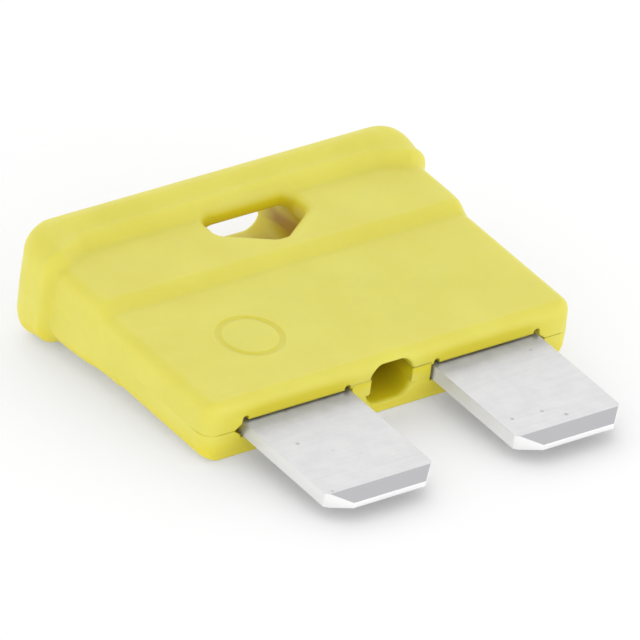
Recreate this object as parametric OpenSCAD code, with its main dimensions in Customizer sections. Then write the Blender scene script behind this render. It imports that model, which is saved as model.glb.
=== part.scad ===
// Regular automotive blade fuse, lying flat.
// A moulded cover and base meet on the mid plane of one stamped element, whose
// blades stand out of the front. Blades point to -Y, the head to +Y, and Z is
// the thickness. The origin is below the middle of the part, at its lowest face.

/* [Element] */
// Width of each blade
blade_w = 5.2; // [4.9:0.1:5.4]
// Thickness of the stamped sheet
sheet_t = 0.65; // [0.5:0.05:0.75]
// Distance over the outer edges of the two blades
blade_span = 14.5; // [14.2:0.1:14.8]
// How far the blades stand out of the housing
blade_reach = 6.35; // [5:0.05:8]
// Corner cut at each side of a blade tip
tip_corner = 0.85; // [0.4:0.05:1.2]
// Length of the ground bevel on both faces of a blade tip
tip_bevel = 0.7; // [0.4:0.05:1.2]
// Thickness left at the very end of a blade tip
tip_edge = 0.25; // [0.15:0.05:0.4]
// Width of the fusible link
link_w = 0.5; // [0.3:0.05:0.8]
// Thickness of the fusible link, coined thinner than the sheet
link_t = 0.24; // [0.1:0.02:0.4]
// Radius of the loop in the fusible link, at its middle line
link_r = 1.05; // [0.8:0.05:1.2]

/* [Housing] */
// Width of the head
head_w = 19.1; // [18.8:0.1:19.6]
// Width over the raised shoulders
shoulder_w = 18.3; // [18.2:0.1:18.6]
// Width over the front plates
body_w = 18.15; // [17.8:0.05:18.2]
// Length of the housing from its front face to the end of its head
housing_l = 13.35; // [13:0.05:13.8]
// Thickness over the head
head_t = 5; // [4.6:0.1:5.3]
// Thickness over the raised shoulders
shoulder_t = 3.5; // [3.3:0.1:3.8]
// Thickness over the front plates
plate_t = 2.75; // [2.6:0.05:3]
// Distance from the front face to the middle of the shoulder step
shoulder_y = 7.6; // [7.3:0.1:7.9]
// Distance from the front face to the middle of the cover's head step
rim_y = 11.45; // [11.3:0.05:11.6]
// Distance from the front face to the head's flange on the sides and the base
flange_y = 10.5; // [10.4:0.1:10.8]
// Plan radius of the two front corners
front_corner_r = 0.7; // [0.6:0.1:1.2]
// Plan radius of the two head corners
head_corner_r = 1.45; // [1:0.05:1.6]

/* [Edges] */
// Length of the cover's rounded nose over the front face
cover_nose_l = 0.5; // [0.3:0.05:0.7]
// Height of the cover's rounded nose over the front face
cover_nose_h = 0.6; // [0.4:0.05:0.7]
// Radius of the cover's long edges
cover_edge_r = 0.55; // [0.4:0.05:0.7]
// Radius of the cover's head edges
cover_head_r = 0.7; // [0.6:0.05:0.9]
// Length of the base's rounded nose under the front face
base_nose_l = 0.2; // [0.15:0.05:0.5]
// Height of the base's rounded nose under the front face
base_nose_h = 0.55; // [0.3:0.05:0.7]
// Radius of the base's long edges
base_edge_r = 0.8; // [0.4:0.05:0.9]
// Radius of the base's head edges
base_head_r = 1; // [0.8:0.05:1.1]

/* [Openings] */
// Width of the vent in the front face
vent_w = 2.06; // [1.8:0.02:2.2]
// Height of the vent in the front face
vent_h = 1.85; // [1.6:0.05:1.9]
// Width of the window through both shells
window_w = 4.65; // [4.4:0.05:4.8]
// Length of the window along the part
window_l = 2.5; // [2.3:0.05:2.7]
// Sideways place of the window's middle
window_x = 0.65; // [0:0.05:0.7]
// Height of the eye from the window out of the end of the head
eye_h = 2.35; // [1.8:0.05:2.4]
// Width of the test-point openings in the end of the head
test_w = 1.5; // [1.2:0.1:1.8]
// Height of the test-point openings in the end of the head
test_h = 0.7; // [0.5:0.05:0.9]

/* [Hidden] */
$fn = 48;
plastic = [0.88, 0.86, 0.42];
metal = [0.82, 0.82, 0.82];

// Half heights above and below the mid plane
head_h = head_t / 2;
rim_h = head_h - 0.25;
shoulder_h = shoulder_t / 2;
plate_h = plate_t / 2;
half_sheet = sheet_t / 2;

// Lengths of the smooth steps on the broad faces and the sides
shoulder_slope = 0.8;
base_ramp = 3.9;
rim_slope = 0.6;
flange_slope = 0.4;
// Chamfer on both shells' parting edge, which leaves the fine groove of the seam
seam = 0.04;
// How much a side wall leans in from the mid plane to its edge radius
side_draft = 0.03;

// What differs between the shells: nose length and height, edge radius on the
// body and on the head, where the head steps out of the broad face, and how
// long the rise to the shoulder is
COVER = [cover_nose_l, cover_nose_h, cover_edge_r, cover_head_r, rim_y, shoulder_slope];
BASE = [base_nose_l, base_nose_h, base_edge_r, base_head_r, flange_y, base_ramp];

// Blade and tab positions across the part
blade_in = blade_span / 2 - blade_w;
blade_out = blade_span / 2;
blade_x = (blade_in + blade_out) / 2;
tab_w = 2.5;
tab_end = housing_l - 1.25;
blade_end = 7.7;
link_y = 6.3;
peg_y = 3.8;
peg_r = 0.85;

// Gaps round the element inside the shells
side_gap = 0.1;
face_gap = 0.04;
mouth_gap = 0.14;
mouth_l = 0.7;
mouth_h = half_sheet + mouth_gap;
front_wall = 2.2;
wall = 0.35;
vent_z = 0.1;
cut = 1;

// Dowels that line up the two shells beside the window
dowel_x = 7.7;
dowel_y = 9.4;
dowel_r = 0.5;
dowel_h = 0.7;

// Round witness mark on the upper face
mark = [-4.5, 3.75];
mark_r = 1.33;
mark_w = 0.11;
mark_depth = 0.05;

// Smooth rise from 0 to 1 that is centred on `mid` and takes `span`
function rise(y, mid, span) = (1 - cos(180 * max(0, min(1, (y - mid) / span + 0.5)))) / 2;
// Fraction of full size along a quarter round that starts at 0 and ends at `r`
function quarter(d, r) = d >= r ? 1 : sqrt(max(0, 1 - pow(1 - d / r, 2)));

// Where a shell's low crown starts behind its head step, and its length
function crown_y(s) = s[4] + rim_slope / 2;
function crown_l(s) = housing_l - s[3] - crown_y(s);
// Middle of the rise to the shoulder, which on the base ends at its head step
function ramp_y(s) = s[5] > shoulder_slope ? s[4] - (rim_slope + s[5]) / 2 : shoulder_y;
// Height of a shell's broad face over the mid plane, along the housing
function face_h(y, s) =
    plate_h - s[1] * (1 - quarter(y, s[0]))
    + (shoulder_h - plate_h) * rise(y, ramp_y(s), s[5])
    + (rim_h - shoulder_h) * rise(y, s[4], rim_slope)
    + (head_h - rim_h) * rise(y, crown_y(s) + crown_l(s) / 2, crown_l(s))
    - s[3] * (1 - quarter(housing_l - y, s[3]));
// Half width of the housing at its parting line, along the housing
function side_x(y) =
    body_w / 2 - front_corner_r * (1 - quarter(y, front_corner_r))
    + (shoulder_w - body_w) / 2 * rise(y, shoulder_y, shoulder_slope)
    + (head_w - shoulder_w) / 2 * rise(y, flange_y, flange_slope)
    - head_corner_r * (1 - quarter(housing_l - y, head_corner_r));
// Radius between the broad face and the side
function edge_r(y, s) =
    min(s[2] + (s[3] - s[2]) * rise(y, flange_y, flange_slope), face_h(y, s) - 3 * seam);

// Places along the housing at which the loft has a section
STEPS = 8;
function round_in(r) = [for (i = [0:STEPS]) r * (1 - cos(90 * i / STEPS))];
function round_out(r) = [for (i = [0:STEPS]) housing_l - round_in(r)[STEPS - i]];
function step_at(mid, span) = [for (i = [0:STEPS]) mid + span * (i / STEPS - 0.5)];
function tail(list) = [for (i = [1:len(list) - 1]) list[i]];
function between(list, low, high) = [for (v = list) if (v > low + 0.01 && v < high - 0.01) v];
function rows(s) = concat(
    round_in(s[0]),
    between(round_in(front_corner_r), s[0], 2 * front_corner_r),
    between(concat(step_at(ramp_y(s), s[5]), step_at(flange_y, flange_slope)),
        0, s[4] - rim_slope / 2),
    step_at(s[4], rim_slope),
    [for (i = [1:3]) crown_y(s) + crown_l(s) * i / 4],
    round_out(s[3])
);

// One section of a shell, from its left parting edge over the top to its right one
function half_section(y, s) =
    let (w = side_x(y), h = face_h(y, s), r = edge_r(y, s))
    concat(
        [[w - seam, 0], [w, seam]],
        [for (i = [0:STEPS])
            let (a = 90 * i / STEPS)
            [w - side_draft - r * (1 - cos(a)), h - r * (1 - sin(a))]]
    );
function section(y, s) =
    let (right = half_section(y, s), n = len(right))
    concat([for (p = right) [-p[0], p[1]]], [for (i = [1:n]) right[n - i]]);

// A shell's outer form over the mid plane as one solid, lofted through its sections
module shell_form(s) {
    n = len(section(0, s));
    points = [for (y = rows(s)) for (p = section(y, s)) [p[0], y, p[1]]];
    last = (len(rows(s)) - 1) * n;
    skin = [for (k = [0:len(rows(s)) - 2]) for (i = [0:n - 1])
        let (j = (i + 1) % n, a = k * n + i, b = k * n + j)
        each [[a, a + n, b], [b, a + n, b + n]]];
    front = [[for (i = [0:n - 1]) i]];
    back = [[for (i = [0:n - 1]) last + n - 1 - i]];
    polyhedron(points, concat(skin, front, back));
}

// Points of an outline whose corners are rounded to radius r
function unit(v) = v / norm(v);
function corner(a, b, c, r, steps = 5) =
    let (u = unit(a - b), v = unit(c - b), half = acos(u * v) / 2,
         mid = b + unit(u + v) * r / sin(half), turn = 90 - half,
         away = unit(b - mid), left = [-away[1], away[0]],
         way = sign(u * left))
    [for (i = [-steps:steps])
        let (t = turn * i / steps)
        mid + r * (cos(t) * away - way * sin(t) * left)];
function rounded(pts, r) =
    let (n = len(pts))
    [for (i = [0:n - 1]) each corner(pts[(i + n - 1) % n], pts[i], pts[(i + 1) % n], r)];

// Slab of size [x, y, z] with its low corner at the origin and round upright edges
module round_slab(size, r) {
    linear_extrude(size[2]) {
        translate([r, 0]) square([size[0] - 2 * r, size[1]]);
        translate([0, r]) square([size[0], size[1] - 2 * r]);
        for (x = [r, size[0] - r], y = [r, size[1] - r])
            translate([x, y]) circle(r);
    }
}

// Passage along +Y from y = 0, with round corners, centred on the mid plane
module passage(w, h, l, r) {
    translate([-w / 2, l, -h / 2]) rotate([90, 0, 0]) round_slab([w, h, l], r);
}

module both_sides() {
    children();
    mirror([1, 0, 0]) children();
}

// Outline of the window: straight towards the head, tapered towards the blades
module window() {
    half = window_w / 2;
    far_edge = rim_y - 0.2;
    bend = far_edge - 0.5 * window_l;
    near_edge = far_edge - window_l;
    outline = [
        [-half, far_edge], [half, far_edge], [half, bend],
        [0.25 * half, near_edge], [-0.25 * half, near_edge], [-half, bend]
    ];
    translate([window_x, 0, -head_t]) linear_extrude(2 * head_t) polygon(rounded(outline, 0.45));
}

// Space for the element, the vent, the window and the eye, cut from both shells
module hollows() {
    pocket_h = sheet_t + face_gap;
    both_sides() {
        translate([blade_in - side_gap, -cut, -half_sheet])
            cube([blade_w + 2 * side_gap, blade_end + side_gap + cut, pocket_h]);
        translate([blade_in - side_gap, -cut, -mouth_h])
            cube([blade_w + 2 * side_gap, mouth_l + cut, 2 * mouth_h]);
        // Relief grooves in the corners of the slot's mouth
        for (x = [blade_in, blade_out], z = [-mouth_h, mouth_h])
            translate([x, -cut, z]) rotate([-90, 0, 0]) cylinder(r = 0.14, h = mouth_l + cut, $fn = 16);
        translate([blade_x - tab_w / 2 - side_gap, blade_end, -half_sheet])
            cube([tab_w + 2 * side_gap, tab_end + side_gap - blade_end, pocket_h]);
        translate([blade_x, tab_end, 0])
            passage(test_w, test_h, housing_l - tab_end + cut, 0.2);
    }
    // Chamber round the fusible link, open to the vent
    chamber_w = 2 * blade_in + 1.6;
    chamber_h = plate_t - 2 * wall;
    translate([-chamber_w / 2, front_wall, -chamber_h / 2])
        round_slab([chamber_w, blade_end - front_wall, chamber_h], 0.5);
    translate([0, -cut, vent_z]) passage(vent_w, vent_h, front_wall + cut + 0.2, 0.6);
    window();
    translate([window_x, rim_y - 1, 0]) passage(window_w - 0.1, eye_h, housing_l, 0.65);
}

// Rib of the base that fills the front between the two blade slots
module rib(gap) {
    w = 2 * (blade_in - side_gap);
    translate([-w / 2, 0, -0.5]) cube([w, front_wall, 0.5 + mouth_h + gap]);
}

// Pegs through the blades and dowels behind them, all standing on the base
module pegs(gap) {
    root = 0.2;
    both_sides() {
        translate([blade_x, peg_y, -half_sheet - root])
            cylinder(r = peg_r + gap, h = root + half_sheet + plate_h - wall - 0.1 + gap);
        translate([dowel_x, dowel_y, -root])
            cylinder(r = dowel_r + gap, h = root + dowel_h + gap);
    }
}

// Places the part with its lowest face on z = 0, its length centred on the origin
module placed() {
    translate([0, (blade_reach - housing_l) / 2, head_h]) children();
}

// Moulded cover with the round witness mark
module upper_shell() {
    color(plastic) placed() difference() {
        shell_form(COVER);
        hollows();
        translate([0, -cut, 0]) rib(0.04);
        rib(0.04);
        pegs(0.05);
        translate([mark[0], mark[1], plate_h - mark_depth]) difference() {
            cylinder(r = mark_r + mark_w / 2, h = 1);
            translate([0, 0, -1]) cylinder(r = mark_r - mark_w / 2, h = 3);
        }
    }
}

// Moulded base: carries the element in its pockets, on the pegs
module lower_shell() {
    color(plastic) placed() {
        difference() {
            union() {
                mirror([0, 0, 1]) shell_form(BASE);
                rib(0);
            }
            hollows();
        }
        pegs(0);
    }
}

// Blade, anchor and test tab of one side, stamped from sheet
module blade_half() {
    tip = -blade_reach;
    plan = [
        [blade_in, tip + tip_corner], [blade_in + tip_corner, tip],
        [blade_out - tip_corner, tip], [blade_out, tip + tip_corner],
        [blade_out, blade_end], [blade_x + tab_w / 2, blade_end],
        [blade_x + tab_w / 2, tab_end], [blade_x - tab_w / 2, tab_end],
        [blade_x - tab_w / 2, blade_end], [blade_in, blade_end]
    ];
    side = [
        [tip, -tip_edge / 2], [tip + tip_bevel, -half_sheet], [housing_l, -half_sheet],
        [housing_l, half_sheet], [tip + tip_bevel, half_sheet], [tip, tip_edge / 2]
    ];
    difference() {
        intersection() {
            translate([0, 0, -half_sheet]) linear_extrude(sheet_t) polygon(plan);
            rotate([90, 0, 90]) linear_extrude(blade_out + cut) polygon(side);
        }
        translate([blade_x, peg_y, -cut]) cylinder(r = peg_r + side_gap, h = 2 * cut);
    }
}

// Stamped zinc-alloy element: two blades joined by the thin looped link
module fuse_element() {
    color(metal) placed() {
        both_sides() blade_half();
        translate([0, link_y, -link_t / 2]) linear_extrude(link_t) {
            difference() {
                circle(link_r + link_w / 2);
                circle(link_r - link_w / 2);
                translate([-3, 0]) square([6, 3]);
            }
            for (side = [-1, 1])
                translate([side * (link_r + blade_in) / 2, 0])
                    square([blade_in - link_r + link_w, link_w], center = true);
        }
    }
}

upper_shell();
lower_shell();
fuse_element();
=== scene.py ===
import math

import bmesh
import bpy
from mathutils import Matrix, Vector
from mathutils.bvhtree import BVHTree


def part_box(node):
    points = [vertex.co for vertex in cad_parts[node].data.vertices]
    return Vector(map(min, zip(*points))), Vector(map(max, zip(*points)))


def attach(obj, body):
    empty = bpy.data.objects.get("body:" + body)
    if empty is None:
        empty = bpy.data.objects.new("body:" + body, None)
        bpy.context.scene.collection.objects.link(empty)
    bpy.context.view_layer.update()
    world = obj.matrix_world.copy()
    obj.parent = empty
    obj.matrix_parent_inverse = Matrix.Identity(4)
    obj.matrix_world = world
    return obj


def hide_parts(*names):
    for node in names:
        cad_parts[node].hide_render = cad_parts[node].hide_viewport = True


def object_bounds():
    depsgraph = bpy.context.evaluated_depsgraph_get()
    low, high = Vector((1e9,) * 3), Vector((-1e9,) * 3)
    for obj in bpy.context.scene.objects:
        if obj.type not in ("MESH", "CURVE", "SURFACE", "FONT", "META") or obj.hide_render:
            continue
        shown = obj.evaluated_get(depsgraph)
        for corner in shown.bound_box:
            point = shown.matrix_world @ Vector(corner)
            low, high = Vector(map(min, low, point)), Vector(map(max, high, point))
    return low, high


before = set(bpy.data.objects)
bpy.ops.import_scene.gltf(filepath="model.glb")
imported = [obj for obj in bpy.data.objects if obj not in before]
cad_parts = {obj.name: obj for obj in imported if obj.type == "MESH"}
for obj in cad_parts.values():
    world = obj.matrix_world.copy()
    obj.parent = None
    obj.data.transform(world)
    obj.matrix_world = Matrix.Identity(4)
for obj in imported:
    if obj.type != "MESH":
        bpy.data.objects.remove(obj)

cad_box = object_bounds()

# ---------------------------------------------------------------- moulded cover
# The cover is the upper half of the housing, injection moulded in polyamide that
# is pigmented yellow for its rating. Its outer form follows one rule along its
# length, and it is pressed and welded onto the base's pegs.

MM = 0.001
HOUSING_LOW, HOUSING_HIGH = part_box("upper_shell")
FRONT, PARTING = HOUSING_LOW.y, HOUSING_LOW.z

# Millimetres. A place is the distance of a smooth step's middle from the housing's
# front, and a slope is the step's length. "Rim Bend" is a share of the half width
COVER_SIZES = {
    "Length": (HOUSING_HIGH.y - FRONT) / MM,
    "Head Width": (HOUSING_HIGH.x - HOUSING_LOW.x) / MM,
    "Head Height": (HOUSING_HIGH.z - PARTING) / MM,
    "Body Width": 18.15,
    "Shoulder Width": 18.3,
    "Plate Height": 1.375,
    "Shoulder Height": 1.75,
    "Rim Height": 2.25,
    "Shoulder Place": 8.05,
    "Shoulder Slope": 0.8,
    "Ramp Place": 7.6,
    "Ramp Slope": 0.8,
    "Ledge Place": 6.15,
    "Ledge Slope": 0.12,
    "Ledge Height": 0.0,
    "Flange Place": 10.8,
    "Flange Slope": 0.6,
    "Rim Place": 11.45,
    "Rim Slope": 0.75,
    "Rim Bend": 0.86,
    "Front Corner": 0.7,
    "Head Corner": 1.45,
    "Nose Length": 0.5,
    "Nose Height": 0.6,
    "Edge Radius": 0.55,
    "Head Edge Radius": 0.7,
    "Head Side Radius": 1.0,
    "Head Side Slope": 1.2,
    "Least Wall": 0.12,
    "Draft": 0.03,
    "Seam": 0.04,
    "Closed Seam": 0.002,
    "Seam Closes From": 0.5,
    "Seam Closes By": 1.3,
}
# Rows along the housing and columns across it. From each side, the first columns are the
# parting edge, those up to FACE_COLUMN the side wall and its round, and the rest the broad face
ROWS, COLUMNS = 241, 97
WALL_COLUMN, FACE_COLUMN = 2, 18


def add(tree, kind, inputs=(), **settings):
    """Adds a node with its settings. A node or socket among the inputs is linked, a value is set."""
    node = tree.nodes.new(kind)
    for name, value in settings.items():
        setattr(node, name, value)
    given = inputs.items() if isinstance(inputs, dict) else enumerate(inputs)
    for key, value in given:
        if isinstance(value, bpy.types.Node):
            value = value.outputs[0]
        if isinstance(value, bpy.types.NodeSocket):
            tree.links.new(value, node.inputs[key])
        else:
            node.inputs[key].default_value = value
    return node


def new_tree(name, sizes, fields=()):
    """Starts a geometry tree with a named input for each size, and returns it and its inputs."""
    tree = bpy.data.node_groups.new(name, "GeometryNodeTree")
    tree.interface.new_socket("Geometry", in_out="OUTPUT", socket_type="NodeSocketGeometry")
    tree.interface.new_socket("Geometry", in_out="INPUT", socket_type="NodeSocketGeometry")
    for size in sizes:
        tree.interface.new_socket(size, in_out="INPUT", socket_type="NodeSocketFloat")
    for field, socket_type in fields:
        tree.interface.new_socket(field, in_out="INPUT", socket_type=socket_type)
    tree.interface.new_socket("Material", in_out="INPUT", socket_type="NodeSocketMaterial")
    return tree, tree.nodes.new("NodeGroupInput").outputs


def end_tree(tree, geometry, given):
    """Ends a tree in real geometry that carries its material."""
    real = add(tree, "GeometryNodeRealizeInstances", [geometry])
    done = add(tree, "GeometryNodeSetMaterial", {"Geometry": real, "Material": given["Material"]})
    add(tree, "NodeGroupOutput", [done])


def plain_mesh(piece):
    """Turns what a piece's modifiers make into its own plain mesh."""
    evaluated = piece.evaluated_get(bpy.context.evaluated_depsgraph_get())
    mesh = bpy.data.meshes.new_from_object(evaluated)
    piece.modifiers.clear()
    piece.data = mesh
    return piece


def new_piece(name, points, faces=(), edges=()):
    """Makes an object from points in the part's frame."""
    mesh = bpy.data.meshes.new(name)
    mesh.from_pydata([Vector(p) for p in points], edges, faces)
    piece = bpy.data.objects.new(name, mesh)
    bpy.context.scene.collection.objects.link(piece)
    return piece


def grow(name, tree, values, points=(), edges=()):
    """Runs a tree over a few points and returns the result as a plain piece."""
    piece = new_piece(name, points, (), edges)
    modifier = piece.modifiers.new(tree.name, "NODES")
    modifier.node_group = tree
    for item in tree.interface.items_tree:
        if item.in_out == "INPUT" and item.name in values:
            modifier[item.identifier] = values[item.name]
    return plain_mesh(piece)


def stepped(tree, start, y, place, slope, height):
    """Adds a smooth rise of that height, centred on its place along the part."""
    half = add(tree, "ShaderNodeMath", [slope, 0.5], operation="MULTIPLY")
    low = add(tree, "ShaderNodeMath", [place, half], operation="SUBTRACT")
    high = add(tree, "ShaderNodeMath", [place, half], operation="ADD")
    rise = add(
        tree, "ShaderNodeMapRange", [y, low, high, 0.0, height], interpolation_type="SMOOTHSTEP",
    )
    return add(tree, "ShaderNodeMath", [start, rise], operation="ADD")


def rounded_off(tree, start, distance, radius, drop):
    """Takes a quarter round off, which is `drop` deep at distance 0 and ends at `radius`."""
    part = add(tree, "ShaderNodeMapRange", [distance, 0.0, radius, 1.0, 0.0])
    angle = add(tree, "ShaderNodeMath", [part], operation="ARCSINE")
    cosine = add(tree, "ShaderNodeMath", [angle], operation="COSINE")
    kept = add(tree, "ShaderNodeMath", [cosine, drop], operation="MULTIPLY")
    lower = add(tree, "ShaderNodeMath", [start, drop], operation="SUBTRACT")
    return add(tree, "ShaderNodeMath", [lower, kept], operation="ADD")


def half_width(tree, given, y, from_end):
    """Half the width along the housing: body, shoulder and head, with their corners rounded."""
    body = add(tree, "ShaderNodeMath", [given["Body Width"], 0.5], operation="MULTIPLY")
    shoulder = add(tree, "ShaderNodeMath", [given["Shoulder Width"], 0.5], operation="MULTIPLY")
    head = add(tree, "ShaderNodeMath", [given["Head Width"], 0.5], operation="MULTIPLY")
    wider = add(tree, "ShaderNodeMath", [shoulder, body], operation="SUBTRACT")
    widest = add(tree, "ShaderNodeMath", [head, shoulder], operation="SUBTRACT")
    width = stepped(tree, body, y, given["Shoulder Place"], given["Shoulder Slope"], wider)
    width = stepped(tree, width, y, given["Flange Place"], given["Flange Slope"], widest)
    width = rounded_off(tree, width, y, given["Front Corner"], given["Front Corner"])
    return rounded_off(tree, width, from_end, given["Head Corner"], given["Head Corner"])


def face_height(tree, given, y, from_end, spread):
    """Height of the broad face along the housing: plate, ledge, shoulder, rim and low crown.
    Towards the sides the rim runs forward, until it meets the flange."""
    plate, shoulder, rim = given["Plate Height"], given["Shoulder Height"], given["Rim Height"]
    to_shoulder = add(tree, "ShaderNodeMath", [shoulder, plate], operation="SUBTRACT")
    to_rim = add(tree, "ShaderNodeMath", [rim, shoulder], operation="SUBTRACT")
    to_crown = add(tree, "ShaderNodeMath", [given["Head Height"], rim], operation="SUBTRACT")
    ramp = add(tree, "ShaderNodeMath", [to_shoulder, given["Ledge Height"]], operation="SUBTRACT")
    rim_place = add(
        tree, "ShaderNodeMapRange",
        [spread, given["Rim Bend"], 1.0, given["Rim Place"], given["Flange Place"]],
    )
    head_round = given["Head Edge Radius"]
    crown_from = add(tree, "ShaderNodeMath", [given["Rim Slope"], 0.5, rim_place], operation="MULTIPLY_ADD")
    crown_to = add(tree, "ShaderNodeMath", [given["Length"], head_round], operation="SUBTRACT")
    crown_sum = add(tree, "ShaderNodeMath", [crown_from, crown_to], operation="ADD")
    crown_place = add(tree, "ShaderNodeMath", [crown_sum, 0.5], operation="MULTIPLY")
    crown_slope = add(tree, "ShaderNodeMath", [crown_to, crown_from], operation="SUBTRACT")
    height = stepped(tree, plate, y, given["Ledge Place"], given["Ledge Slope"], given["Ledge Height"])
    height = stepped(tree, height, y, given["Ramp Place"], given["Ramp Slope"], ramp)
    height = stepped(tree, height, y, rim_place, given["Rim Slope"], to_rim)
    height = stepped(tree, height, y, crown_place, crown_slope, to_crown)
    height = rounded_off(tree, height, y, given["Nose Length"], given["Nose Height"])
    return rounded_off(tree, height, from_end, head_round, head_round)


def edge_radius(tree, given, y, height):
    """Radius between the broad face and the side, which is fuller on the head."""
    body, head = given["Edge Radius"], given["Head Side Radius"]
    fuller = add(tree, "ShaderNodeMath", [head, body], operation="SUBTRACT")
    radius = stepped(tree, body, y, given["Flange Place"], given["Head Side Slope"], fuller)
    most = add(tree, "ShaderNodeMath", [height, given["Least Wall"]], operation="SUBTRACT")
    return add(tree, "ShaderNodeMath", [radius, most], operation="MINIMUM")


def shell_tree():
    """A sheet of rows along the housing and columns across it, bent to one half's outer form."""
    fields = [("Scale", "NodeSocketVector"), ("Place", "NodeSocketVector")]
    tree, given = new_tree("shell_form", COVER_SIZES, fields)
    sheet = add(tree, "GeometryNodeMeshGrid", [1.0, 1.0, COLUMNS, ROWS])
    spot = add(tree, "ShaderNodeSeparateXYZ", [add(tree, "GeometryNodeInputPosition")])

    # Rows stand closer together towards both ends, where the rounds are
    turn = add(tree, "ShaderNodeMath", [spot.outputs[1], math.pi], operation="MULTIPLY")
    wave = add(tree, "ShaderNodeMath", [turn], operation="SINE")
    share = add(tree, "ShaderNodeMath", [wave, 0.5, 0.5], operation="MULTIPLY_ADD")
    y = add(tree, "ShaderNodeMath", [share, given["Length"]], operation="MULTIPLY")
    from_end = add(tree, "ShaderNodeMath", [given["Length"], y], operation="SUBTRACT")

    # Columns go up the side wall, over the round and across the broad face, closer together
    # towards the sides
    across = add(tree, "ShaderNodeMath", [spot.outputs[0]], operation="ABSOLUTE")
    inward = add(tree, "ShaderNodeMath", [0.5, across], operation="SUBTRACT")
    column = add(tree, "ShaderNodeMath", [inward, COLUMNS - 1.0], operation="MULTIPLY")
    angle = add(
        tree, "ShaderNodeMapRange", [column, float(WALL_COLUMN), float(FACE_COLUMN), 0.0, math.pi / 2],
    )
    face_share = 0.5 - FACE_COLUMN / (COLUMNS - 1)
    spread = add(tree, "ShaderNodeMapRange", [across, 0.0, face_share, 0.0, math.pi / 2])
    spread = add(tree, "ShaderNodeMath", [spread], operation="SINE")

    width = half_width(tree, given, y, from_end)
    height = face_height(tree, given, y, from_end, spread)
    radius = edge_radius(tree, given, y, height)

    # The side wall leans in by its draft and turns over into the broad face
    cosine = add(tree, "ShaderNodeMath", [angle], operation="COSINE")
    sine = add(tree, "ShaderNodeMath", [angle], operation="SINE")
    lean = add(tree, "ShaderNodeMath", [given["Draft"], radius], operation="ADD")
    turned_in = add(tree, "ShaderNodeMath", [cosine, radius], operation="MULTIPLY")
    wall_in = add(tree, "ShaderNodeMath", [lean, turned_in], operation="SUBTRACT")
    spring = add(tree, "ShaderNodeMath", [height, radius], operation="SUBTRACT")
    wall_up = add(tree, "ShaderNodeMath", [sine, radius, spring], operation="MULTIPLY_ADD")

    # The parting edge below it has a small chamfer. The halves are welded flush along the
    # sides, and the seam opens at the front corners
    seam = add(
        tree, "ShaderNodeMapRange",
        [y, given["Seam Closes From"], given["Seam Closes By"], given["Seam"], given["Closed Seam"]],
        interpolation_type="SMOOTHSTEP",
    )
    off_edge = add(tree, "ShaderNodeMath", [column, 1.0], operation="MINIMUM")
    seam_up = add(tree, "ShaderNodeMath", [off_edge, seam], operation="MULTIPLY")
    seam_in = add(tree, "ShaderNodeMath", [seam, seam_up], operation="SUBTRACT")

    on_wall = add(tree, "ShaderNodeMath", [column, WALL_COLUMN - 0.5], operation="GREATER_THAN")
    inset = add(tree, "ShaderNodeMix", {0: on_wall, 2: seam_in, 3: wall_in})
    z = add(tree, "ShaderNodeMix", {0: on_wall, 2: seam_up, 3: wall_up})
    reach = add(tree, "ShaderNodeMath", [width, inset], operation="SUBTRACT")
    reach = add(tree, "ShaderNodeMath", [reach, spread], operation="MULTIPLY")
    side = add(tree, "ShaderNodeMath", [spot.outputs[0]], operation="SIGN")
    x = add(tree, "ShaderNodeMath", [reach, side], operation="MULTIPLY")

    bent_to = add(tree, "ShaderNodeCombineXYZ", [x, y, z])
    bent = add(tree, "GeometryNodeSetPosition", {"Geometry": sheet, "Position": bent_to})
    placed = add(
        tree, "GeometryNodeTransform",
        {"Geometry": bent, "Translation": given["Place"], "Scale": given["Scale"]},
    )
    end_tree(tree, placed, given)
    return tree


def close_shell(piece):
    """Closes the bent sheet with its front face, its back face and its parting face."""
    shell = bmesh.new()
    shell.from_mesh(piece.data)
    shell.verts.ensure_lookup_table()
    grid = [[shell.verts[c * ROWS + r] for r in range(ROWS)] for c in range(COLUMNS)]
    shell.faces.new([line[0] for line in grid])
    shell.faces.new([line[-1] for line in grid])
    shell.faces.new(grid[0] + grid[-1][::-1])
    bmesh.ops.recalc_face_normals(shell, faces=shell.faces)
    shell.to_mesh(piece.data)
    shell.free()


def outer_skin(shell):
    """The shell's outside to measure from, without its parting face, which is always the last."""
    mesh = shell.data
    outside = [tuple(face.vertices) for face in mesh.polygons[:-1]]
    return BVHTree.FromPolygons([v.co for v in mesh.vertices], outside)


def mark_depth(piece, skin):
    """Writes how far each point lies under the outer skin, in millimetres, for the shade and the bounce
    colour painted into the plastic.
    """
    depth = piece.data.attributes.new("skin_depth", "FLOAT", "POINT")
    depth.data.foreach_set("value", [skin.find_nearest(v.co)[3] / MM for v in piece.data.vertices])


def housing(x, y, z):
    """A place in millimetres from the middle of the housing's front, at its parting plane."""
    return Vector((x * MM, FRONT + y * MM, PARTING + z * MM))


def block(name, low, high):
    """A straight-sided box between two corners, for a rib or for what a mould's core leaves open."""
    xs, ys, zs = zip(low, high)
    corners = [housing(x, y, z) for z in zs for y in ys for x in xs]
    faces = [(0, 2, 3, 1), (4, 5, 7, 6), (0, 1, 5, 4), (2, 6, 7, 3), (0, 4, 6, 2), (1, 3, 7, 5)]
    return new_piece(name, corners, faces)


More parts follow.
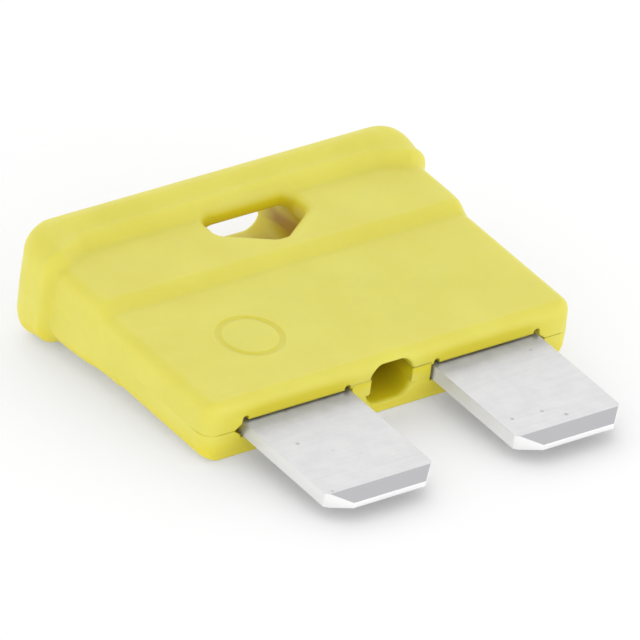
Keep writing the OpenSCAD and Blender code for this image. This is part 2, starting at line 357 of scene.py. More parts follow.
def outline(corners, radius):
    """Points round an outline with rounded corners, each with the direction that points out of it."""
    steps = 9
    points = []
    for i, here in enumerate(corners):
        here = Vector(here)
        before = (Vector(corners[i - 1]) - here).normalized()
        after = (Vector(corners[(i + 1) % len(corners)]) - here).normalized()
        half = before.angle(after) / 2
        middle = here + (before + after).normalized() * radius / math.sin(half)
        out = (here - middle).normalized()
        turn = math.pi / 2 - half
        if before.cross(after) > 0:
            turn = -turn
        for s in range(-steps, steps + 1):
            way = out.copy()
            way.rotate(Matrix.Rotation(turn * s / steps, 2))
            points.append((middle + way * radius, way))
    return points


def outward(piece):
    """Turns a closed piece's faces so that they point outwards."""
    turned = bmesh.new()
    turned.from_mesh(piece.data)
    bmesh.ops.recalc_face_normals(turned, faces=turned.faces)
    turned.to_mesh(piece.data)
    turned.free()
    return piece


def opening(name, ring, place, shell, into, depth, rim):
    """An opening through a wall, with its edge rounded where it meets the outer form.
    `place` puts a point of the ring in front of the wall, and `into` is the way through it."""
    # The rim's round starts at a slant of 9 degrees to the skin, so that it runs out cleanly.
    # The tool starts outside the skin, and the rays that find the skin start further out
    steps, first_turn, outside, run_up = 7, 9, 0.8, 10 * MM
    turns = [math.radians(first_turn + (90 - first_turn) * s / steps) for s in range(steps + 1)]
    levels = [(rim * (1 - math.sin(t)), rim * (1 - math.cos(t))) for t in turns]
    # Each level is wider than the ring by its first value and lies under the skin by its second
    levels = [(levels[0][0], -outside)] + levels + [(0.0, depth)]
    loops = []
    for wider, deeper in levels:
        loop = []
        for spot, out in ring:
            point = place(spot + out * wider)
            hit, met, _, _ = shell.ray_cast(point - into * run_up, into)
            met = met if hit else point
            loop.append(met + into * deeper * MM)
        loops.append(loop)
    # The last loop lies flat, so that the opening ends inside the housing
    flat = max(p.dot(into) for p in loops[-1])
    loops[-1] = [p + into * (flat - p.dot(into)) for p in loops[-1]]
    n = len(ring)
    faces = [(k * n + i, k * n + (i + 1) % n, (k + 1) * n + (i + 1) % n, (k + 1) * n + i)
             for k in range(len(loops) - 1) for i in range(n)]
    faces += [tuple(range(n)), tuple(reversed(range((len(loops) - 1) * n, len(loops) * n)))]
    return outward(new_piece(name, [p for loop in loops for p in loop], faces))


def prism(name, plan, low, high, place):
    """A plate with that outline between two heights, put in the part's frame by `place`."""
    n = len(plan)
    points = [place(*p, h) for h in (low, high) for p in plan]
    faces = [(i, (i + 1) % n, n + (i + 1) % n, n + i) for i in range(n)]
    faces += [tuple(reversed(range(n))), tuple(range(n, 2 * n))]
    return outward(new_piece(name, points, faces))


def worked(piece, tools, operation):
    """Cuts the tools out of a piece, or joins them to it, and leaves a plain mesh."""
    for tool in tools:
        modifier = piece.modifiers.new(tool.name, "BOOLEAN")
        modifier.object, modifier.operation, modifier.solver = tool, operation, "MANIFOLD"
    plain_mesh(piece)
    for tool in tools:
        bpy.data.objects.remove(tool)


def pin_tree():
    """Puts one round pin on each point it is given."""
    tree, given = new_tree("round_pins", ("Radius", "Length"), [("Turned", "NodeSocketVector")])
    wide = add(tree, "ShaderNodeMath", [given["Radius"], MM], operation="MULTIPLY")
    tall = add(tree, "ShaderNodeMath", [given["Length"], MM], operation="MULTIPLY")
    pin = add(tree, "GeometryNodeMeshCylinder", {"Vertices": 40, "Radius": wide, "Depth": tall})
    stood = add(
        tree, "GeometryNodeInstanceOnPoints",
        {"Points": given["Geometry"], "Instance": pin, "Rotation": given["Turned"]},
    )
    end_tree(tree, stood, given)
    return tree


PIN_FORM = pin_tree()
# Turns of a pin that lies along the part, and of one that stands
ALONG, UPRIGHT = (math.pi / 2, 0.0, 0.0), (0.0, 0.0, 0.0)


def pins(name, spots, radius, low, high):
    """Upright round pins of one size on the given spots, between two heights."""
    sizes = {"Radius": radius, "Length": high - low, "Turned": UPRIGHT}
    return grow(name, PIN_FORM, sizes, [housing(x, y, (low + high) / 2) for x, y in spots])


# The element that the housing holds: inner edge, outer edge, middle and rear end of a blade,
# half width and rear end of its test tab, and half the sheet's thickness
BLADE_IN, BLADE_OUT, BLADE_X, BLADE_END = 2.05, 7.25, 4.65, 7.7
TAB_HALF, TAB_END = 1.25, COVER_SIZES["Length"] - 1.25
SHEET_HALF = 0.325
# Play beside the sheet, over it and in the mouths of the slots, and how long the mouths are
GAP, FACE_GAP, MOUTH_GAP, MOUTH_LENGTH = 0.1, 0.04, 0.07, 0.7
# Pegs pass through the blades, and dowels stand beside the window
PEG_Y, PEG_RADIUS, PEG_FOOT, PEG_TOP = 3.8, 0.85, -0.975, 0.925
DOWEL_X, DOWEL_Y, DOWEL_RADIUS, DOWEL_FOOT, DOWEL_TOP = 7.7, 9.4, 0.5, -0.5, 0.7
PEGS = [(side * BLADE_X, PEG_Y) for side in (-1, 1)]
DOWELS = [(side * DOWEL_X, DOWEL_Y) for side in (-1, 1)]
# Play round them in the cover, and how deep its holes for them are
PIN_PLAY, PEG_HOLE, DOWEL_HOLE = 0.05, 1.05, 0.75
# The rib between the slots, the wall that it makes with the cover, and the link's chamber
RIB_HALF, RIB_SEAT, FRONT_WALL = BLADE_IN - GAP, 0.505, 2.2
CHAMBER_HALF, CHAMBER_RISE = 2.85, 1.025
# Test points at the end of the head, where a meter's probes reach the tabs
TEST_HALF, TEST_RISE = 0.75, 0.35
# Outlines of the window in plan, and of the vent and the eye as seen along the part, each
# with its corner radius, its depth and the radius of its rim. The vent's rim is rounder on the
# base than on the cover
WINDOW = [(-1.675, 11.3), (2.8, 11.3), (2.8, 10.0), (0.94, 8.75), (0.36, 8.75), (-1.675, 10.0)]
WINDOW_CORNER, WINDOW_DEPTH, WINDOW_RIM = 0.5, 6.0, 0.34
VENT = [(-1.03, -0.825), (1.03, -0.825), (1.03, 1.025), (-1.03, 1.025)]
VENT_CORNER, VENT_DEPTH, VENT_RIM_COVER, VENT_RIM_BASE = 0.6, 2.6, 0.14, 0.34
EYE = [(-1.625, -1.175), (2.925, -1.175), (2.925, 1.175), (-1.625, 1.175)]
EYE_CORNER, EYE_DEPTH, EYE_RIM = 0.65, 3.2, 0.2
# Relief grooves inside the upper corners of a slot's mouth, and the wedge-shaped notch at its
# outer end
RELIEF_RADIUS, RELIEF_IN, RELIEF_OUT, RELIEF_UP = 0.15, 0.15, 0.07, 0.06
NOTCH_ROOT, NOTCH_REACH, NOTCH_HALF, NOTCH_DEPTH = 0.1, 0.42, 0.03, 0.35
# How far tools overlap each other and reach past a face, and places clear of the housing
OVERLAP, CLEAR = 0.2, 1.0
BEFORE, BEHIND, OVER, BESIDE = -3.0, 16.0, 6.0, 12.0


def from_middle(side, near, far):
    """Left and right edge of a stretch that runs from `near` to `far` on one side of the middle."""
    return sorted((side * near, side * far))


def hollows(shell, up, vent_rim):
    """The tools that leave the slots, chamber, vent, window and eye in one half of the housing.
    `up` is 1 for the cover and -1 for the base."""
    mouth = SHEET_HALF + MOUTH_GAP
    bed, roof = -SHEET_HALF, SHEET_HALF + FACE_GAP
    tools = []
    for side in (-1, 1):
        left, right = from_middle(side, BLADE_IN - GAP, BLADE_OUT + GAP)
        tools.append(block("slot", (left, -CLEAR, -mouth), (right, MOUTH_LENGTH, mouth)))
        tools.append(block("pocket", (left, MOUTH_LENGTH - OVERLAP, bed), (right, BLADE_END + GAP, roof)))
        left, right = from_middle(side, BLADE_X - TAB_HALF - GAP, BLADE_X + TAB_HALF + GAP)
        tools.append(block("tab_pocket", (left, BLADE_END - OVERLAP, bed), (right, TAB_END + GAP, roof)))
        left, right = from_middle(side, BLADE_X - TEST_HALF, BLADE_X + TEST_HALF)
        tools.append(block("test_point", (left, TAB_END - OVERLAP, -TEST_RISE), (right, BEHIND, TEST_RISE)))
    low, high = (-CHAMBER_HALF, FRONT_WALL, -CHAMBER_RISE), (CHAMBER_HALF, BLADE_END, CHAMBER_RISE)
    tools.append(block("chamber", low, high))

    # The window opens the broad face, the vent the front and the eye the end of the head
    ways = [
        ("window", outline(WINDOW, WINDOW_CORNER), lambda p: housing(p.x, p.y, up * OVER),
         Vector((0, 0, -up)), WINDOW_DEPTH, WINDOW_RIM),
        ("vent", outline(VENT, VENT_CORNER), lambda p: housing(p.x, BEFORE, p.y),
         Vector((0, 1, 0)), VENT_DEPTH, vent_rim),
        ("eye", outline(EYE, EYE_CORNER), lambda p: housing(p.x, BEHIND, p.y),
         Vector((0, -1, 0)), EYE_DEPTH, EYE_RIM),
    ]
    for name, ring, place, into, depth, rim in ways:
        tools.append(opening(name, ring, place, shell, into, depth, rim))

    corners = [(side * x, OVERLAP, mouth + RELIEF_UP)
               for side in (-1, 1) for x in (BLADE_IN + RELIEF_IN, BLADE_OUT - RELIEF_OUT)]
    sizes = {"Radius": RELIEF_RADIUS, "Length": 2 * MOUTH_LENGTH, "Turned": ALONG}
    tools.append(grow("relief_grooves", PIN_FORM, sizes, [housing(*c) for c in corners]))
    notch = [(BLADE_OUT - NOTCH_ROOT, mouth), (BLADE_OUT + NOTCH_REACH, NOTCH_HALF),
             (BLADE_OUT + NOTCH_REACH, -NOTCH_HALF), (BLADE_OUT - NOTCH_ROOT, -mouth)]
    for side in (-1, 1):
        tools.append(prism(
            "end_notch", notch, -CLEAR, NOTCH_DEPTH, lambda x, z, y: housing(side * x, y, z),
        ))
    return tools


def hex_colour(code):
    """An sRGB hex colour as the linear values that shaders take."""
    levels = [int(code[i:i + 2], 16) / 255 for i in (1, 3, 5)]
    return [v / 12.92 if v <= 0.04045 else ((v + 0.055) / 1.055) ** 2.4 for v in levels] + [1.0]


def layered(tree, colour, layers):
    """Lays colours over a first one, each by its own share, and returns the result."""
    for share, over in layers:
        mixed = add(tree, "ShaderNodeMix", {0: share, 6: colour, 7: over}, data_type="RGBA")
        colour = mixed.outputs[2]
    return colour


def new_material(name):
    """Starts an empty node material, and returns it and its tree."""
    material = bpy.data.materials.new(name)
    material.use_nodes = True
    material.node_tree.nodes.clear()
    return material, material.node_tree


def moulded_polyamide(name, seed):
    """Pigmented polyamide from a spark-eroded mould: a satin skin with a broad soft gloss, a fine pebbled
    grain and faintly cloudy pigment. Shade is painted into it: deeper yellow inner corners and rims of the
    hollows, amber inside the hollows, paler worn edges that also act as a painted highlight, and a grey outer
    skin for bounced light."""
    material, tree = new_material(name)
    place = add(tree, "ShaderNodeTexCoord").outputs["Object"]
    spot = add(tree, "ShaderNodeMapping", {"Vector": place, "Location": (seed, 0.0, 0.0)})

    # Pigment lies in clouds 2.6 mm wide. A grain of it is too small to show, and these specks
    # stand for clusters 0.15 mm wide
    cloud = add(tree, "ShaderNodeTexNoise", {"Vector": spot, "Scale": 1 / (2.6 * MM), "Detail": 3.0})
    cloudy = add(tree, "ShaderNodeMapRange", [cloud, 0.35, 0.65])
    fleck = add(tree, "ShaderNodeTexNoise", {"Vector": spot, "Scale": 1 / (0.15 * MM), "Detail": 2.0})
    paler = add(tree, "ShaderNodeMapRange", [fleck, 0.62, 0.78, 0.0, 0.25])

    # Painted shade: inner corners, found by ambient occlusion, and the rims of the hollows, found by depth
    # under the skin, are painted deeper yellow, and the hollows amber. This stands in for the shade that
    # falls there and for light that has crossed the plastic
    open_sky = add(tree, "ShaderNodeAmbientOcclusion", {"Distance": 1.4 * MM}, samples=8).outputs["AO"]
    corner = add(tree, "ShaderNodeMapRange", [open_sky, 0.7, 0.985, 1.0, 0.0])
    under_skin = add(tree, "ShaderNodeAttribute", attribute_name="skin_depth").outputs["Fac"]
    edge = add(tree, "ShaderNodeMapRange", [under_skin, 0.06, 0.3])
    hollow_shade = add(tree, "ShaderNodeMapRange", [under_skin, 0.35, 1.3])

    # Painted bounce: rays that bounce off the plastic or see it in a mirror find its outer skin nearly grey,
    # so the paper's shadows and the metal's reflections take no yellow from it
    ray = add(tree, "ShaderNodeLightPath").outputs
    bounced = add(tree, "ShaderNodeMath", [ray["Is Diffuse Ray"], ray["Is Glossy Ray"]], operation="MAXIMUM")
    outside = add(tree, "ShaderNodeMapRange", [under_skin, 0.1, 0.4, 0.88, 0.0])
    grey_for_bounces = add(tree, "ShaderNodeMath", [bounced, outside], operation="MULTIPLY")

    # Handled edges are rounded by wear, and painted a little paler, which is partly wear and partly a painted
    # highlight.
    # The welded parting line is flush, so it isn't rounded, and no light is lost in it
    axes = add(tree, "ShaderNodeSeparateXYZ", [place])
    over_line = add(tree, "ShaderNodeMath", [axes.outputs["Z"], PARTING], operation="SUBTRACT")
    from_line = add(tree, "ShaderNodeMath", [over_line], operation="ABSOLUTE")
    off_line = add(tree, "ShaderNodeMapRange", [from_line, 0.09 * MM, 0.14 * MM])
    glow = add(tree, "ShaderNodeMapRange", [from_line, 0.1 * MM, 0.9 * MM, 0.0, 0.4])
    normal = add(tree, "ShaderNodeNewGeometry").outputs["Normal"]
    rounded = add(tree, "ShaderNodeBevel", {"Radius": 0.09 * MM}, samples=6)
    worn = add(tree, "ShaderNodeMix", {0: off_line, 4: normal, 5: rounded}, data_type="VECTOR").outputs[1]
    bent = add(tree, "ShaderNodeVectorMath", [worn, normal], operation="DOT_PRODUCT").outputs["Value"]
    wear_and_highlight = add(tree, "ShaderNodeMapRange", [bent, 0.99, 0.85, 0.0, 0.25])

    # The pigment's clouds and flecks are its own tone. The layers after them are painted shade, painted grey
    # for bounced light, and paler worn edges with a painted highlight
    skin = layered(tree, hex_colour("#D6CE47"), [
        (cloudy, hex_colour("#DAD350")),
        (paler, hex_colour("#DFD868")),
        (corner, hex_colour("#DACC16")),
        (edge, hex_colour("#DACC0E")),
        (grey_for_bounces, hex_colour("#CCCCC6")),
        (hollow_shade, hex_colour("#AC8400")),
        (wear_and_highlight, hex_colour("#E0DA70")),
    ])

    # Spark-eroded grain: pits about 0.12 mm wide and a few microns deep
    grain = add(
        tree, "ShaderNodeTexNoise",
        {"Vector": spot, "Scale": 1 / (0.12 * MM), "Detail": 3.0, "Roughness": 0.6},
    )
    relief = add(
        tree, "ShaderNodeBump",
        {"Strength": 0.35, "Distance": 0.006 * MM, "Height": grain, "Normal": worn},
    )
    # The flow of the melt dulls the gloss in patches 1 mm wide
    patch = add(tree, "ShaderNodeTexNoise", {"Vector": spot, "Scale": 1 / (1.0 * MM), "Detail": 2.0})
    dulled = add(tree, "ShaderNodeMapRange", [patch, 0.3, 0.7, 0.44, 0.52])
    surface = add(tree, "ShaderNodeBsdfPrincipled", {
        "Base Color": skin, "Roughness": dulled, "IOR": 1.53, "Specular IOR Level": 0.7,
        "Subsurface Weight": glow, "Subsurface Radius": (1.0, 0.85, 0.1), "Subsurface Scale": 0.9 * MM,
        "Normal": relief,
    })
    add(tree, "ShaderNodeOutputMaterial", {"Surface": surface})
    return material


def finished(piece, material, sharp):
    """Shades a mesh smooth over its rounds, and leaves edges over `sharp` degrees crisp."""
    piece.data.materials.clear()
    piece.data.materials.append(material)
    piece.data.polygons.foreach_set("material_index", [0] * len(piece.data.polygons))
    piece.data.shade_smooth()
    piece.data.set_sharp_from_angle(angle=math.radians(sharp))


def ring_tree():
    """Lays one round ring on each point it is given, for the witness mark of an ejector."""
    tree, given = new_tree("ejector_ring", ("Ring Radius", "Groove Radius"))
    wide = add(tree, "ShaderNodeMath", [given["Ring Radius"], MM], operation="MULTIPLY")
    thick = add(tree, "ShaderNodeMath", [given["Groove Radius"], MM], operation="MULTIPLY")
    path = add(tree, "GeometryNodeCurvePrimitiveCircle", {"Resolution": 96, "Radius": wide})
    profile = add(tree, "GeometryNodeCurvePrimitiveCircle", {"Resolution": 24, "Radius": thick})
    ring = add(tree, "GeometryNodeCurveToMesh", {"Curve": path, "Profile Curve": profile})
    laid = add(tree, "GeometryNodeInstanceOnPoints", {"Points": given["Geometry"], "Instance": ring})
    end_tree(tree, laid, given)
    return tree


SHELL_FORM = shell_tree()
PLASTIC_CREASE = 32
# The ejector's ring: its middle and radius, the groove's own radius, and how far the groove's
# middle lies over the plate
MARK_X, MARK_Y, MARK_RADIUS = -4.45, 3.73, 1.3
GROOVE_RADIUS, GROOVE_UP = 0.18, 0.115
# The fine gap that shows between the halves at the front: its depth and height
SEAM_DEPTH, SEAM_RISE = 0.05, 0.035

cover_plastic = moulded_polyamide("moulded_polyamide_cover", 0.0)
cover = grow("fuse_cover", SHELL_FORM, dict(
    COVER_SIZES, Scale=(MM, MM, MM), Place=housing(0, 0, 0), Material=cover_plastic,
))
close_shell(cover)
cover_skin = outer_skin(cover)
worked(cover, hollows(cover, 1, VENT_RIM_COVER) + [
    pins("peg_holes", PEGS, PEG_RADIUS + PIN_PLAY, -PEG_HOLE, PEG_HOLE),
    pins("dowel_holes", DOWELS, DOWEL_RADIUS + PIN_PLAY, -DOWEL_HOLE, DOWEL_HOLE),
    block("rib_seat", (-RIB_HALF, -CLEAR, -CLEAR), (RIB_HALF, FRONT_WALL, RIB_SEAT)),
    block("front_seam", (-BESIDE, -CLEAR, -CLEAR), (BESIDE, SEAM_DEPTH, SEAM_RISE)),
], "DIFFERENCE")
mark = grow("ejector_ring", ring_tree(), {"Ring Radius": MARK_RADIUS, "Groove Radius": GROOVE_RADIUS},
            [housing(MARK_X, MARK_Y, COVER_SIZES["Plate Height"] + GROOVE_UP)])
worked(cover, [mark], "DIFFERENCE")
finished(cover, cover_plastic, PLASTIC_CREASE)
mark_depth(cover, cover_skin)
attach(cover, "root")
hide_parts("upper_shell")

# ---------------------------------------------------------------- moulded base
# The base is the lower half, moulded in the same plastic. It carries the metal
# element in its pockets, and its rib, pegs and dowels locate the cover.

BASE_SIZES = dict(COVER_SIZES, **{
    "Ramp Place": 8.25,
    "Ramp Slope": 3.9,
    "Ledge Height": 0.09,
    "Rim Place": 10.8,
    "Nose Length": 0.2,
    "Nose Height": 0.55,
    "Edge Radius": 0.8,
    "Head Edge Radius": 1.0,
    "Head Side Radius": 1.35,
})
# The rib fills its seat on the left, and its right part stays lower, which leaves a fine gap
RIB_FOOT, RIB_LEFT, RIB_RIGHT, RIB_JOIN = -0.5, 0.504, 0.465, -0.1
# The front is cut back below this height, down to past the base
UNDERCUT_TOP, UNDERCUT_LOW, UNDERCUT_DEPTH = -0.32, -1.6, 0.28

base_plastic = moulded_polyamide("moulded_polyamide_base", 0.03)
base = grow("fuse_base", SHELL_FORM, dict(
    BASE_SIZES, Scale=(MM, MM, -MM), Place=housing(0, 0, 0), Material=base_plastic,
))
close_shell(base)
base_skin = outer_skin(base)
tools = hollows(base, -1, VENT_RIM_BASE)
worked(base, [
    block("rib", (-RIB_HALF, 0, RIB_FOOT), (0, FRONT_WALL, RIB_LEFT)),
    block("rib", (RIB_JOIN, 0, RIB_FOOT), (RIB_HALF, FRONT_WALL, RIB_RIGHT)),
], "UNION")
undercut = [(-CLEAR, UNDERCUT_TOP), (0, UNDERCUT_TOP), (UNDERCUT_DEPTH, UNDERCUT_LOW), (-CLEAR, UNDERCUT_LOW)]
tools.append(prism("front_undercut", undercut, -BESIDE, BESIDE, lambda y, z, x: housing(x, y, z)))
worked(base, tools, "DIFFERENCE")
worked(base, [
    pins("pegs", PEGS, PEG_RADIUS, PEG_FOOT, PEG_TOP),
    pins("dowels", DOWELS, DOWEL_RADIUS, DOWEL_FOOT, DOWEL_TOP),
], "UNION")
finished(base, base_plastic, PLASTIC_CREASE)
mark_depth(base, base_skin)
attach(base, "root")
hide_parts("lower_shell")

# ---------------------------------------------------------------- stamped element
# One strip of rolled zinc alloy gives both blades, their test tabs and the thin
# looped link. It is stamped, its tips are ground to a bevel, and it lies in the
# base's pockets.

ELEMENT_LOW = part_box("fuse_element")[0]
TIP = (ELEMENT_LOW.y - FRONT) / MM
TIP_CORNER, TIP_BEVEL, TIP_EDGE = 0.85, 0.7, 0.25
# The stock that grinds the tips is a little thicker than the sheet, and runs past the tabs
STOCK_PLAY, STOCK_END, STOCK_HALF = 0.01, 13.0, 9.0
ROLLED_EDGE, METAL_CREASE = 0.06, 28
LINK_Y, LINK_RADIUS, LINK_WIDTH, LINK_THICKNESS = 6.3, 1.05, 0.5, 0.24
LINK_ROOT, LINK_STEPS = 0.3, 36


def rolled_zinc():
    """Rolled zinc strip with a dull tin skin: cloudy grey faces with fine streaks along the rolling and small
    dark pits.
    Ground bevels are painted darker, partly their own finish and partly painted shade, and cut edges are
    painted bright, partly bare metal and partly a painted reflection."""
    material, tree = new_material("rolled_zinc_alloy")
    space = add(tree, "ShaderNodeTexCoord").outputs
    spot = space["Object"]

    # The strip is rolled across the blades, so streaks are 4 mm long and 0.2 mm apart. The tin
    # on it is cloudy, in patches 0.9 mm wide
    grain = (1 / (4 * MM), 1 / (0.2 * MM), 1 / (0.2 * MM))
    rolled = add(tree, "ShaderNodeMapping", {"Vector": spot, "Scale": grain})
    streak = add(tree, "ShaderNodeTexNoise", {"Vector": rolled, "Scale": 1.0, "Detail": 3.0})
    cloud = add(
        tree, "ShaderNodeTexNoise",
        {"Vector": spot, "Scale": 1 / (0.9 * MM), "Detail": 4.0, "Roughness": 0.6},
    )
    both = add(tree, "ShaderNodeMath", [streak, 0.45, cloud], operation="MULTIPLY_ADD")
    paler = add(tree, "ShaderNodeMapRange", [both, 0.55, 0.9])
    # Pits lie about 1.1 mm apart
    pit = add(tree, "ShaderNodeTexVoronoi", {"Vector": spot, "Scale": 1 / (1.1 * MM)})
    pitted = add(tree, "ShaderNodeMapRange", [pit.outputs["Distance"], 0.05, 0.11, 0.55, 0.0])

    # Sheared edges stand upright, and ground bevels are neither flat nor upright; both are picked by which
    # way a face turns. The bevels' darker grey is partly their finish and partly painted shade, and the
    # edges' bright grey is partly bare metal and partly a painted reflection. The tips' ends are the
    # brightest, a painted reflection of the white floor on ground metal
    facing = add(tree, "ShaderNodeSeparateXYZ", [space["Normal"]])
    level = add(tree, "ShaderNodeMath", [facing.outputs["Z"]], operation="ABSOLUTE")
    flat = add(tree, "ShaderNodeMapRange", [level, 0.985, 0.995])
    sheared_and_glinting = add(tree, "ShaderNodeMapRange", [level, 0.75, 0.5])
    ground = add(tree, "ShaderNodeMath", [1.0, flat], operation="SUBTRACT")
    ground = add(tree, "ShaderNodeMath", [ground, sheared_and_glinting], operation="SUBTRACT", use_clamp=True)
    endways = add(tree, "ShaderNodeMath", [facing.outputs["Y"]], operation="ABSOLUTE")
    tip_end = add(tree, "ShaderNodeMapRange", [endways, 0.5, 0.8])
    cut = layered(tree, hex_colour("#F4F4F3"), [(tip_end, hex_colour("#FFFFFF"))])
    skin = layered(tree, hex_colour("#C9C9CA"), [
        (paler, hex_colour("#D6D6D6")),
        (pitted, hex_colour("#8E8E92")),
        (ground, hex_colour("#BFBFC1")),
        (sheared_and_glinting, cut),
    ])

    dulled = add(tree, "ShaderNodeMapRange", [both, 0.5, 0.95, 0.34, 0.46])
    height = add(tree, "ShaderNodeMath", [pitted, -1.5, both], operation="MULTIPLY_ADD")
    relief = add(tree, "ShaderNodeBump", {"Strength": 0.3, "Distance": 0.01 * MM, "Height": height})
    surface = add(tree, "ShaderNodeBsdfPrincipled", {
        "Base Color": skin, "Metallic": 1.0, "Roughness": dulled, "Normal": relief,
    })
    add(tree, "ShaderNodeOutputMaterial", {"Surface": surface})
    return material


def link_tree():
    """Draws a flat strip along a path, for the link that is coined thinner than the sheet."""
    tree, given = new_tree("fusible_link", ("Link Width", "Link Thickness"))
    wide = add(tree, "ShaderNodeMath", [given["Link Width"], MM], operation="MULTIPLY")
    thick = add(tree, "ShaderNodeMath", [given["Link Thickness"], MM], operation="MULTIPLY")
    path = add(tree, "GeometryNodeMeshToCurve", [given["Geometry"]])
    path = add(tree, "GeometryNodeSetCurveNormal", [path], mode="Z_UP")
    profile = add(tree, "GeometryNodeCurvePrimitiveQuadrilateral", {"Width": wide, "Height": thick})
    strip = add(
        tree, "GeometryNodeCurveToMesh",
        {"Curve": path, "Profile Curve": profile, "Fill Caps": True},
    )
    end_tree(tree, strip, given)
    return tree


def stamped_blade(side):
    """Blade, anchor and test tab of one side, with a ground tip and a hole for the peg."""
    plan = [
        (BLADE_IN, TIP + TIP_CORNER), (BLADE_IN + TIP_CORNER, TIP),
        (BLADE_OUT - TIP_CORNER, TIP), (BLADE_OUT, TIP + TIP_CORNER),
        (BLADE_OUT, BLADE_END), (BLADE_X + TAB_HALF, BLADE_END), (BLADE_X + TAB_HALF, TAB_END),
        (BLADE_X - TAB_HALF, TAB_END), (BLADE_X - TAB_HALF, BLADE_END), (BLADE_IN, BLADE_END),
    ]
    blade = prism("blade", plan, -SHEET_HALF, SHEET_HALF, lambda x, y, z: housing(side * x, y, z))
    ground = [
        (TIP, -TIP_EDGE / 2), (TIP + TIP_BEVEL, -SHEET_HALF), (STOCK_END, -SHEET_HALF - STOCK_PLAY),
        (STOCK_END, SHEET_HALF + STOCK_PLAY), (TIP + TIP_BEVEL, SHEET_HALF), (TIP, TIP_EDGE / 2),
    ]
    stock = prism("ground_tip", ground, -STOCK_HALF, STOCK_HALF, lambda y, z, x: housing(x, y, z))
    worked(blade, [stock], "INTERSECT")
    hole = pins("blade_hole", [(side * BLADE_X, PEG_Y)], PEG_RADIUS + GAP, -1.0, 1.0)
    worked(blade, [hole], "DIFFERENCE")
    rolled = blade.modifiers.new("rolled_edge", "BEVEL")
    rolled.width, rolled.segments = ROLLED_EDGE * MM, 3
    rolled.limit_method, rolled.angle_limit = "ANGLE", math.radians(12)
    return plain_mesh(blade)


element, right_blade = stamped_blade(-1), stamped_blade(1)
worked(element, [right_blade], "UNION")
# The link runs straight out of each blade and loops towards the vent
turns = [math.pi * k / LINK_STEPS for k in range(LINK_STEPS + 1)]
loop = [(-LINK_RADIUS * math.cos(t), LINK_Y - LINK_RADIUS * math.sin(t)) for t in turns]
path = [(-BLADE_IN - LINK_ROOT, LINK_Y)] + loop + [(BLADE_IN + LINK_ROOT, LINK_Y)]
link = grow("fusible_link", link_tree(), {"Link Width": LINK_WIDTH, "Link Thickness": LINK_THICKNESS},
            [housing(x, y, 0) for x, y in path], [(k, k + 1) for k in range(len(path) - 1)])
worked(element, [link], "UNION")
finished(element, rolled_zinc(), METAL_CREASE)
element.modifiers.new("even_faces", "WEIGHTED_NORMAL").keep_sharp = True
plain_mesh(element)
element.name = "stamped_element"
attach(element, "root")
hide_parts("fuse_element")

# ---------------------------------------------------------------- floor, light and camera
# A sheet of white paper in a light tent. The part rests on the front edge of its
# base and on the rim of its head, so the floor leans to touch both. It bends down
# in front of the blades.

# Millimetres: how much higher the base's front edge is than the head's rim, how far it is
# in front of the rim, and how far the rim is in front of the head's end
FOOT_RISE, FOOT_SPAN, RIM_IN = 1.1, 12.1, 1.0
LEAN = math.atan2(FOOT_RISE, FOOT_SPAN)
touch = Vector((0, HOUSING_HIGH.y - RIM_IN * MM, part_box("lower_shell")[0].z))
# Half the paper's side, the place where it starts to bend, and the length of the bend
SWEEP, CREST, BEND, PAPER_ROWS = 60 * MM, touch.y - 21 * MM, 20 * MM, 121
rows = []
for k in range(PAPER_ROWS):
    y = SWEEP - 2 * SWEEP * k / (PAPER_ROWS - 1)
    past = min(max(CREST - y, 0.0), BEND)
    beyond = max(CREST - BEND - y, 0.0)
    rise = touch.y - max(y, CREST) + past - past * past / BEND - beyond
    rows.append((y, touch.z + math.tan(LEAN) * rise))
sweep = new_piece("floor", [(x, y, z) for y, z in rows for x in (-SWEEP, SWEEP)],
                  [(2 * k, 2 * k + 2, 2 * k + 3, 2 * k + 1) for k in range(PAPER_ROWS - 1)])
sweep.data.shade_smooth()


def seen_directly(tree):
    """1 for what the camera sees, straight, in a reflection or through glass, else 0."""
    ray = add(tree, "ShaderNodeLightPath").outputs
    seen = add(tree, "ShaderNodeMath", [ray["Is Camera Ray"], ray["Is Glossy Ray"]], operation="MAXIMUM")
    return add(tree, "ShaderNodeMath", [seen, ray["Is Transmission Ray"]], operation="MAXIMUM")


def white_paper():
    """Matt white paper that a light under it lifts a little, and that fills the part from below."""
    material, tree = new_material("white_paper")
    lift = add(tree, "ShaderNodeMapRange", [seen_directly(tree), 0.0, 1.0, 0.32, 0.09])
    matt = add(tree, "ShaderNodeBsdfDiffuse", {"Color": hex_colour("#F1F1F1")})
    glow = add(tree, "ShaderNodeEmission", {"Strength": lift})
    both = add(tree, "ShaderNodeAddShader", [matt, glow])
    add(tree, "ShaderNodeOutputMaterial", {"Surface": both})
    return material


sweep.data.materials.append(white_paper())

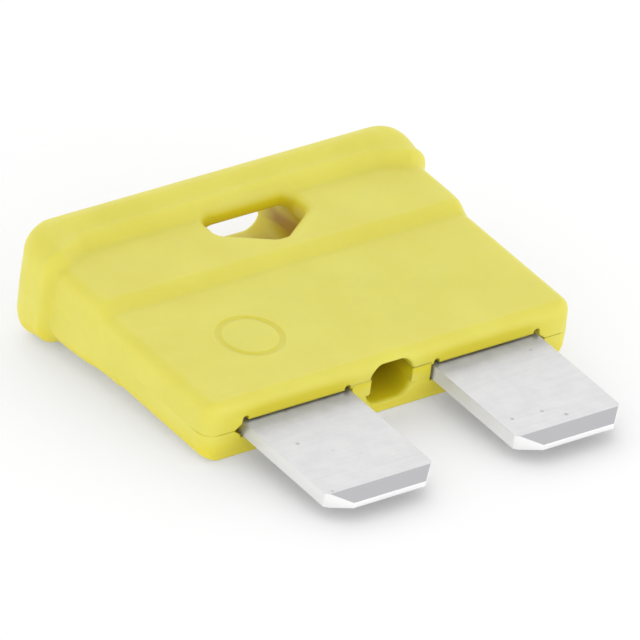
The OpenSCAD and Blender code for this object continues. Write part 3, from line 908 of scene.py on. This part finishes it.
# The tent is white where it is seen. As a light, its walls are stronger and its roof is dimmer
world = bpy.data.worlds.new("light_tent")
bpy.context.scene.world = world
world.use_nodes = True
tree = world.node_tree
tree.nodes.clear()
way = add(tree, "ShaderNodeTexCoord").outputs["Generated"]
upward = add(tree, "ShaderNodeSeparateXYZ", [way]).outputs["Z"]
tent = add(tree, "ShaderNodeMapRange", [upward, 0.4, 0.85, 1.2, 0.88], interpolation_type="SMOOTHSTEP")
level = add(tree, "ShaderNodeMix", {0: seen_directly(tree), 2: tent, 3: 1.0})
cloth = add(tree, "ShaderNodeBackground", {"Color": (1, 1, 1, 1), "Strength": level})
add(tree, "ShaderNodeOutputWorld", {"Surface": cloth})


def softbox(name, place, size, power):
    """A square softbox that faces the part."""
    lamp = bpy.data.lights.new(name, "AREA")
    lamp.size, lamp.energy = size, power
    holder = bpy.data.objects.new(name, lamp)
    bpy.context.scene.collection.objects.link(holder)
    holder.location = place
    holder.rotation_euler = (-Vector(place)).to_track_quat("-Z", "Y").to_euler()


softbox("back_softbox", (0.25, 0.42, 0.25), 0.4, 0.2)
softbox("front_softbox", (0.10, -0.48, 0.05), 0.35, 0.4)
softbox("left_softbox", (-0.48, -0.14, 0.12), 0.35, 0.03)

# The camera stands half a metre away with a very long lens, which keeps the view nearly
# parallel, and is rolled a little
AZIMUTH, ELEVATION, ROLL = math.radians(-39.948), math.radians(32.864), math.radians(7.951)
DISTANCE, LENS = 0.5, 702.3375
target = Vector((0.125 * MM, 1.566 * MM, (cad_box[0][2] + cad_box[1][2]) / 2))
back = Vector((
    math.sin(AZIMUTH) * math.cos(ELEVATION), -math.cos(AZIMUTH) * math.cos(ELEVATION), math.sin(ELEVATION),
))
right = Vector((0, 0, 1)).cross(back).normalized()
up = back.cross(right)
rolled_right = right * math.cos(ROLL) + up * math.sin(ROLL)
rolled_up = up * math.cos(ROLL) - right * math.sin(ROLL)
turned = Matrix((rolled_right, rolled_up, back)).transposed().to_4x4()
camera = bpy.data.objects.new("camera", bpy.data.cameras.new("camera"))
bpy.context.scene.collection.objects.link(camera)
camera.matrix_world = Matrix.Translation(target + back * DISTANCE) @ turned
camera.data.lens = LENS
camera.data.clip_start, camera.data.clip_end = 0.01, 10
bpy.context.scene.camera = camera
bpy.context.scene.view_settings.view_transform = "Standard"
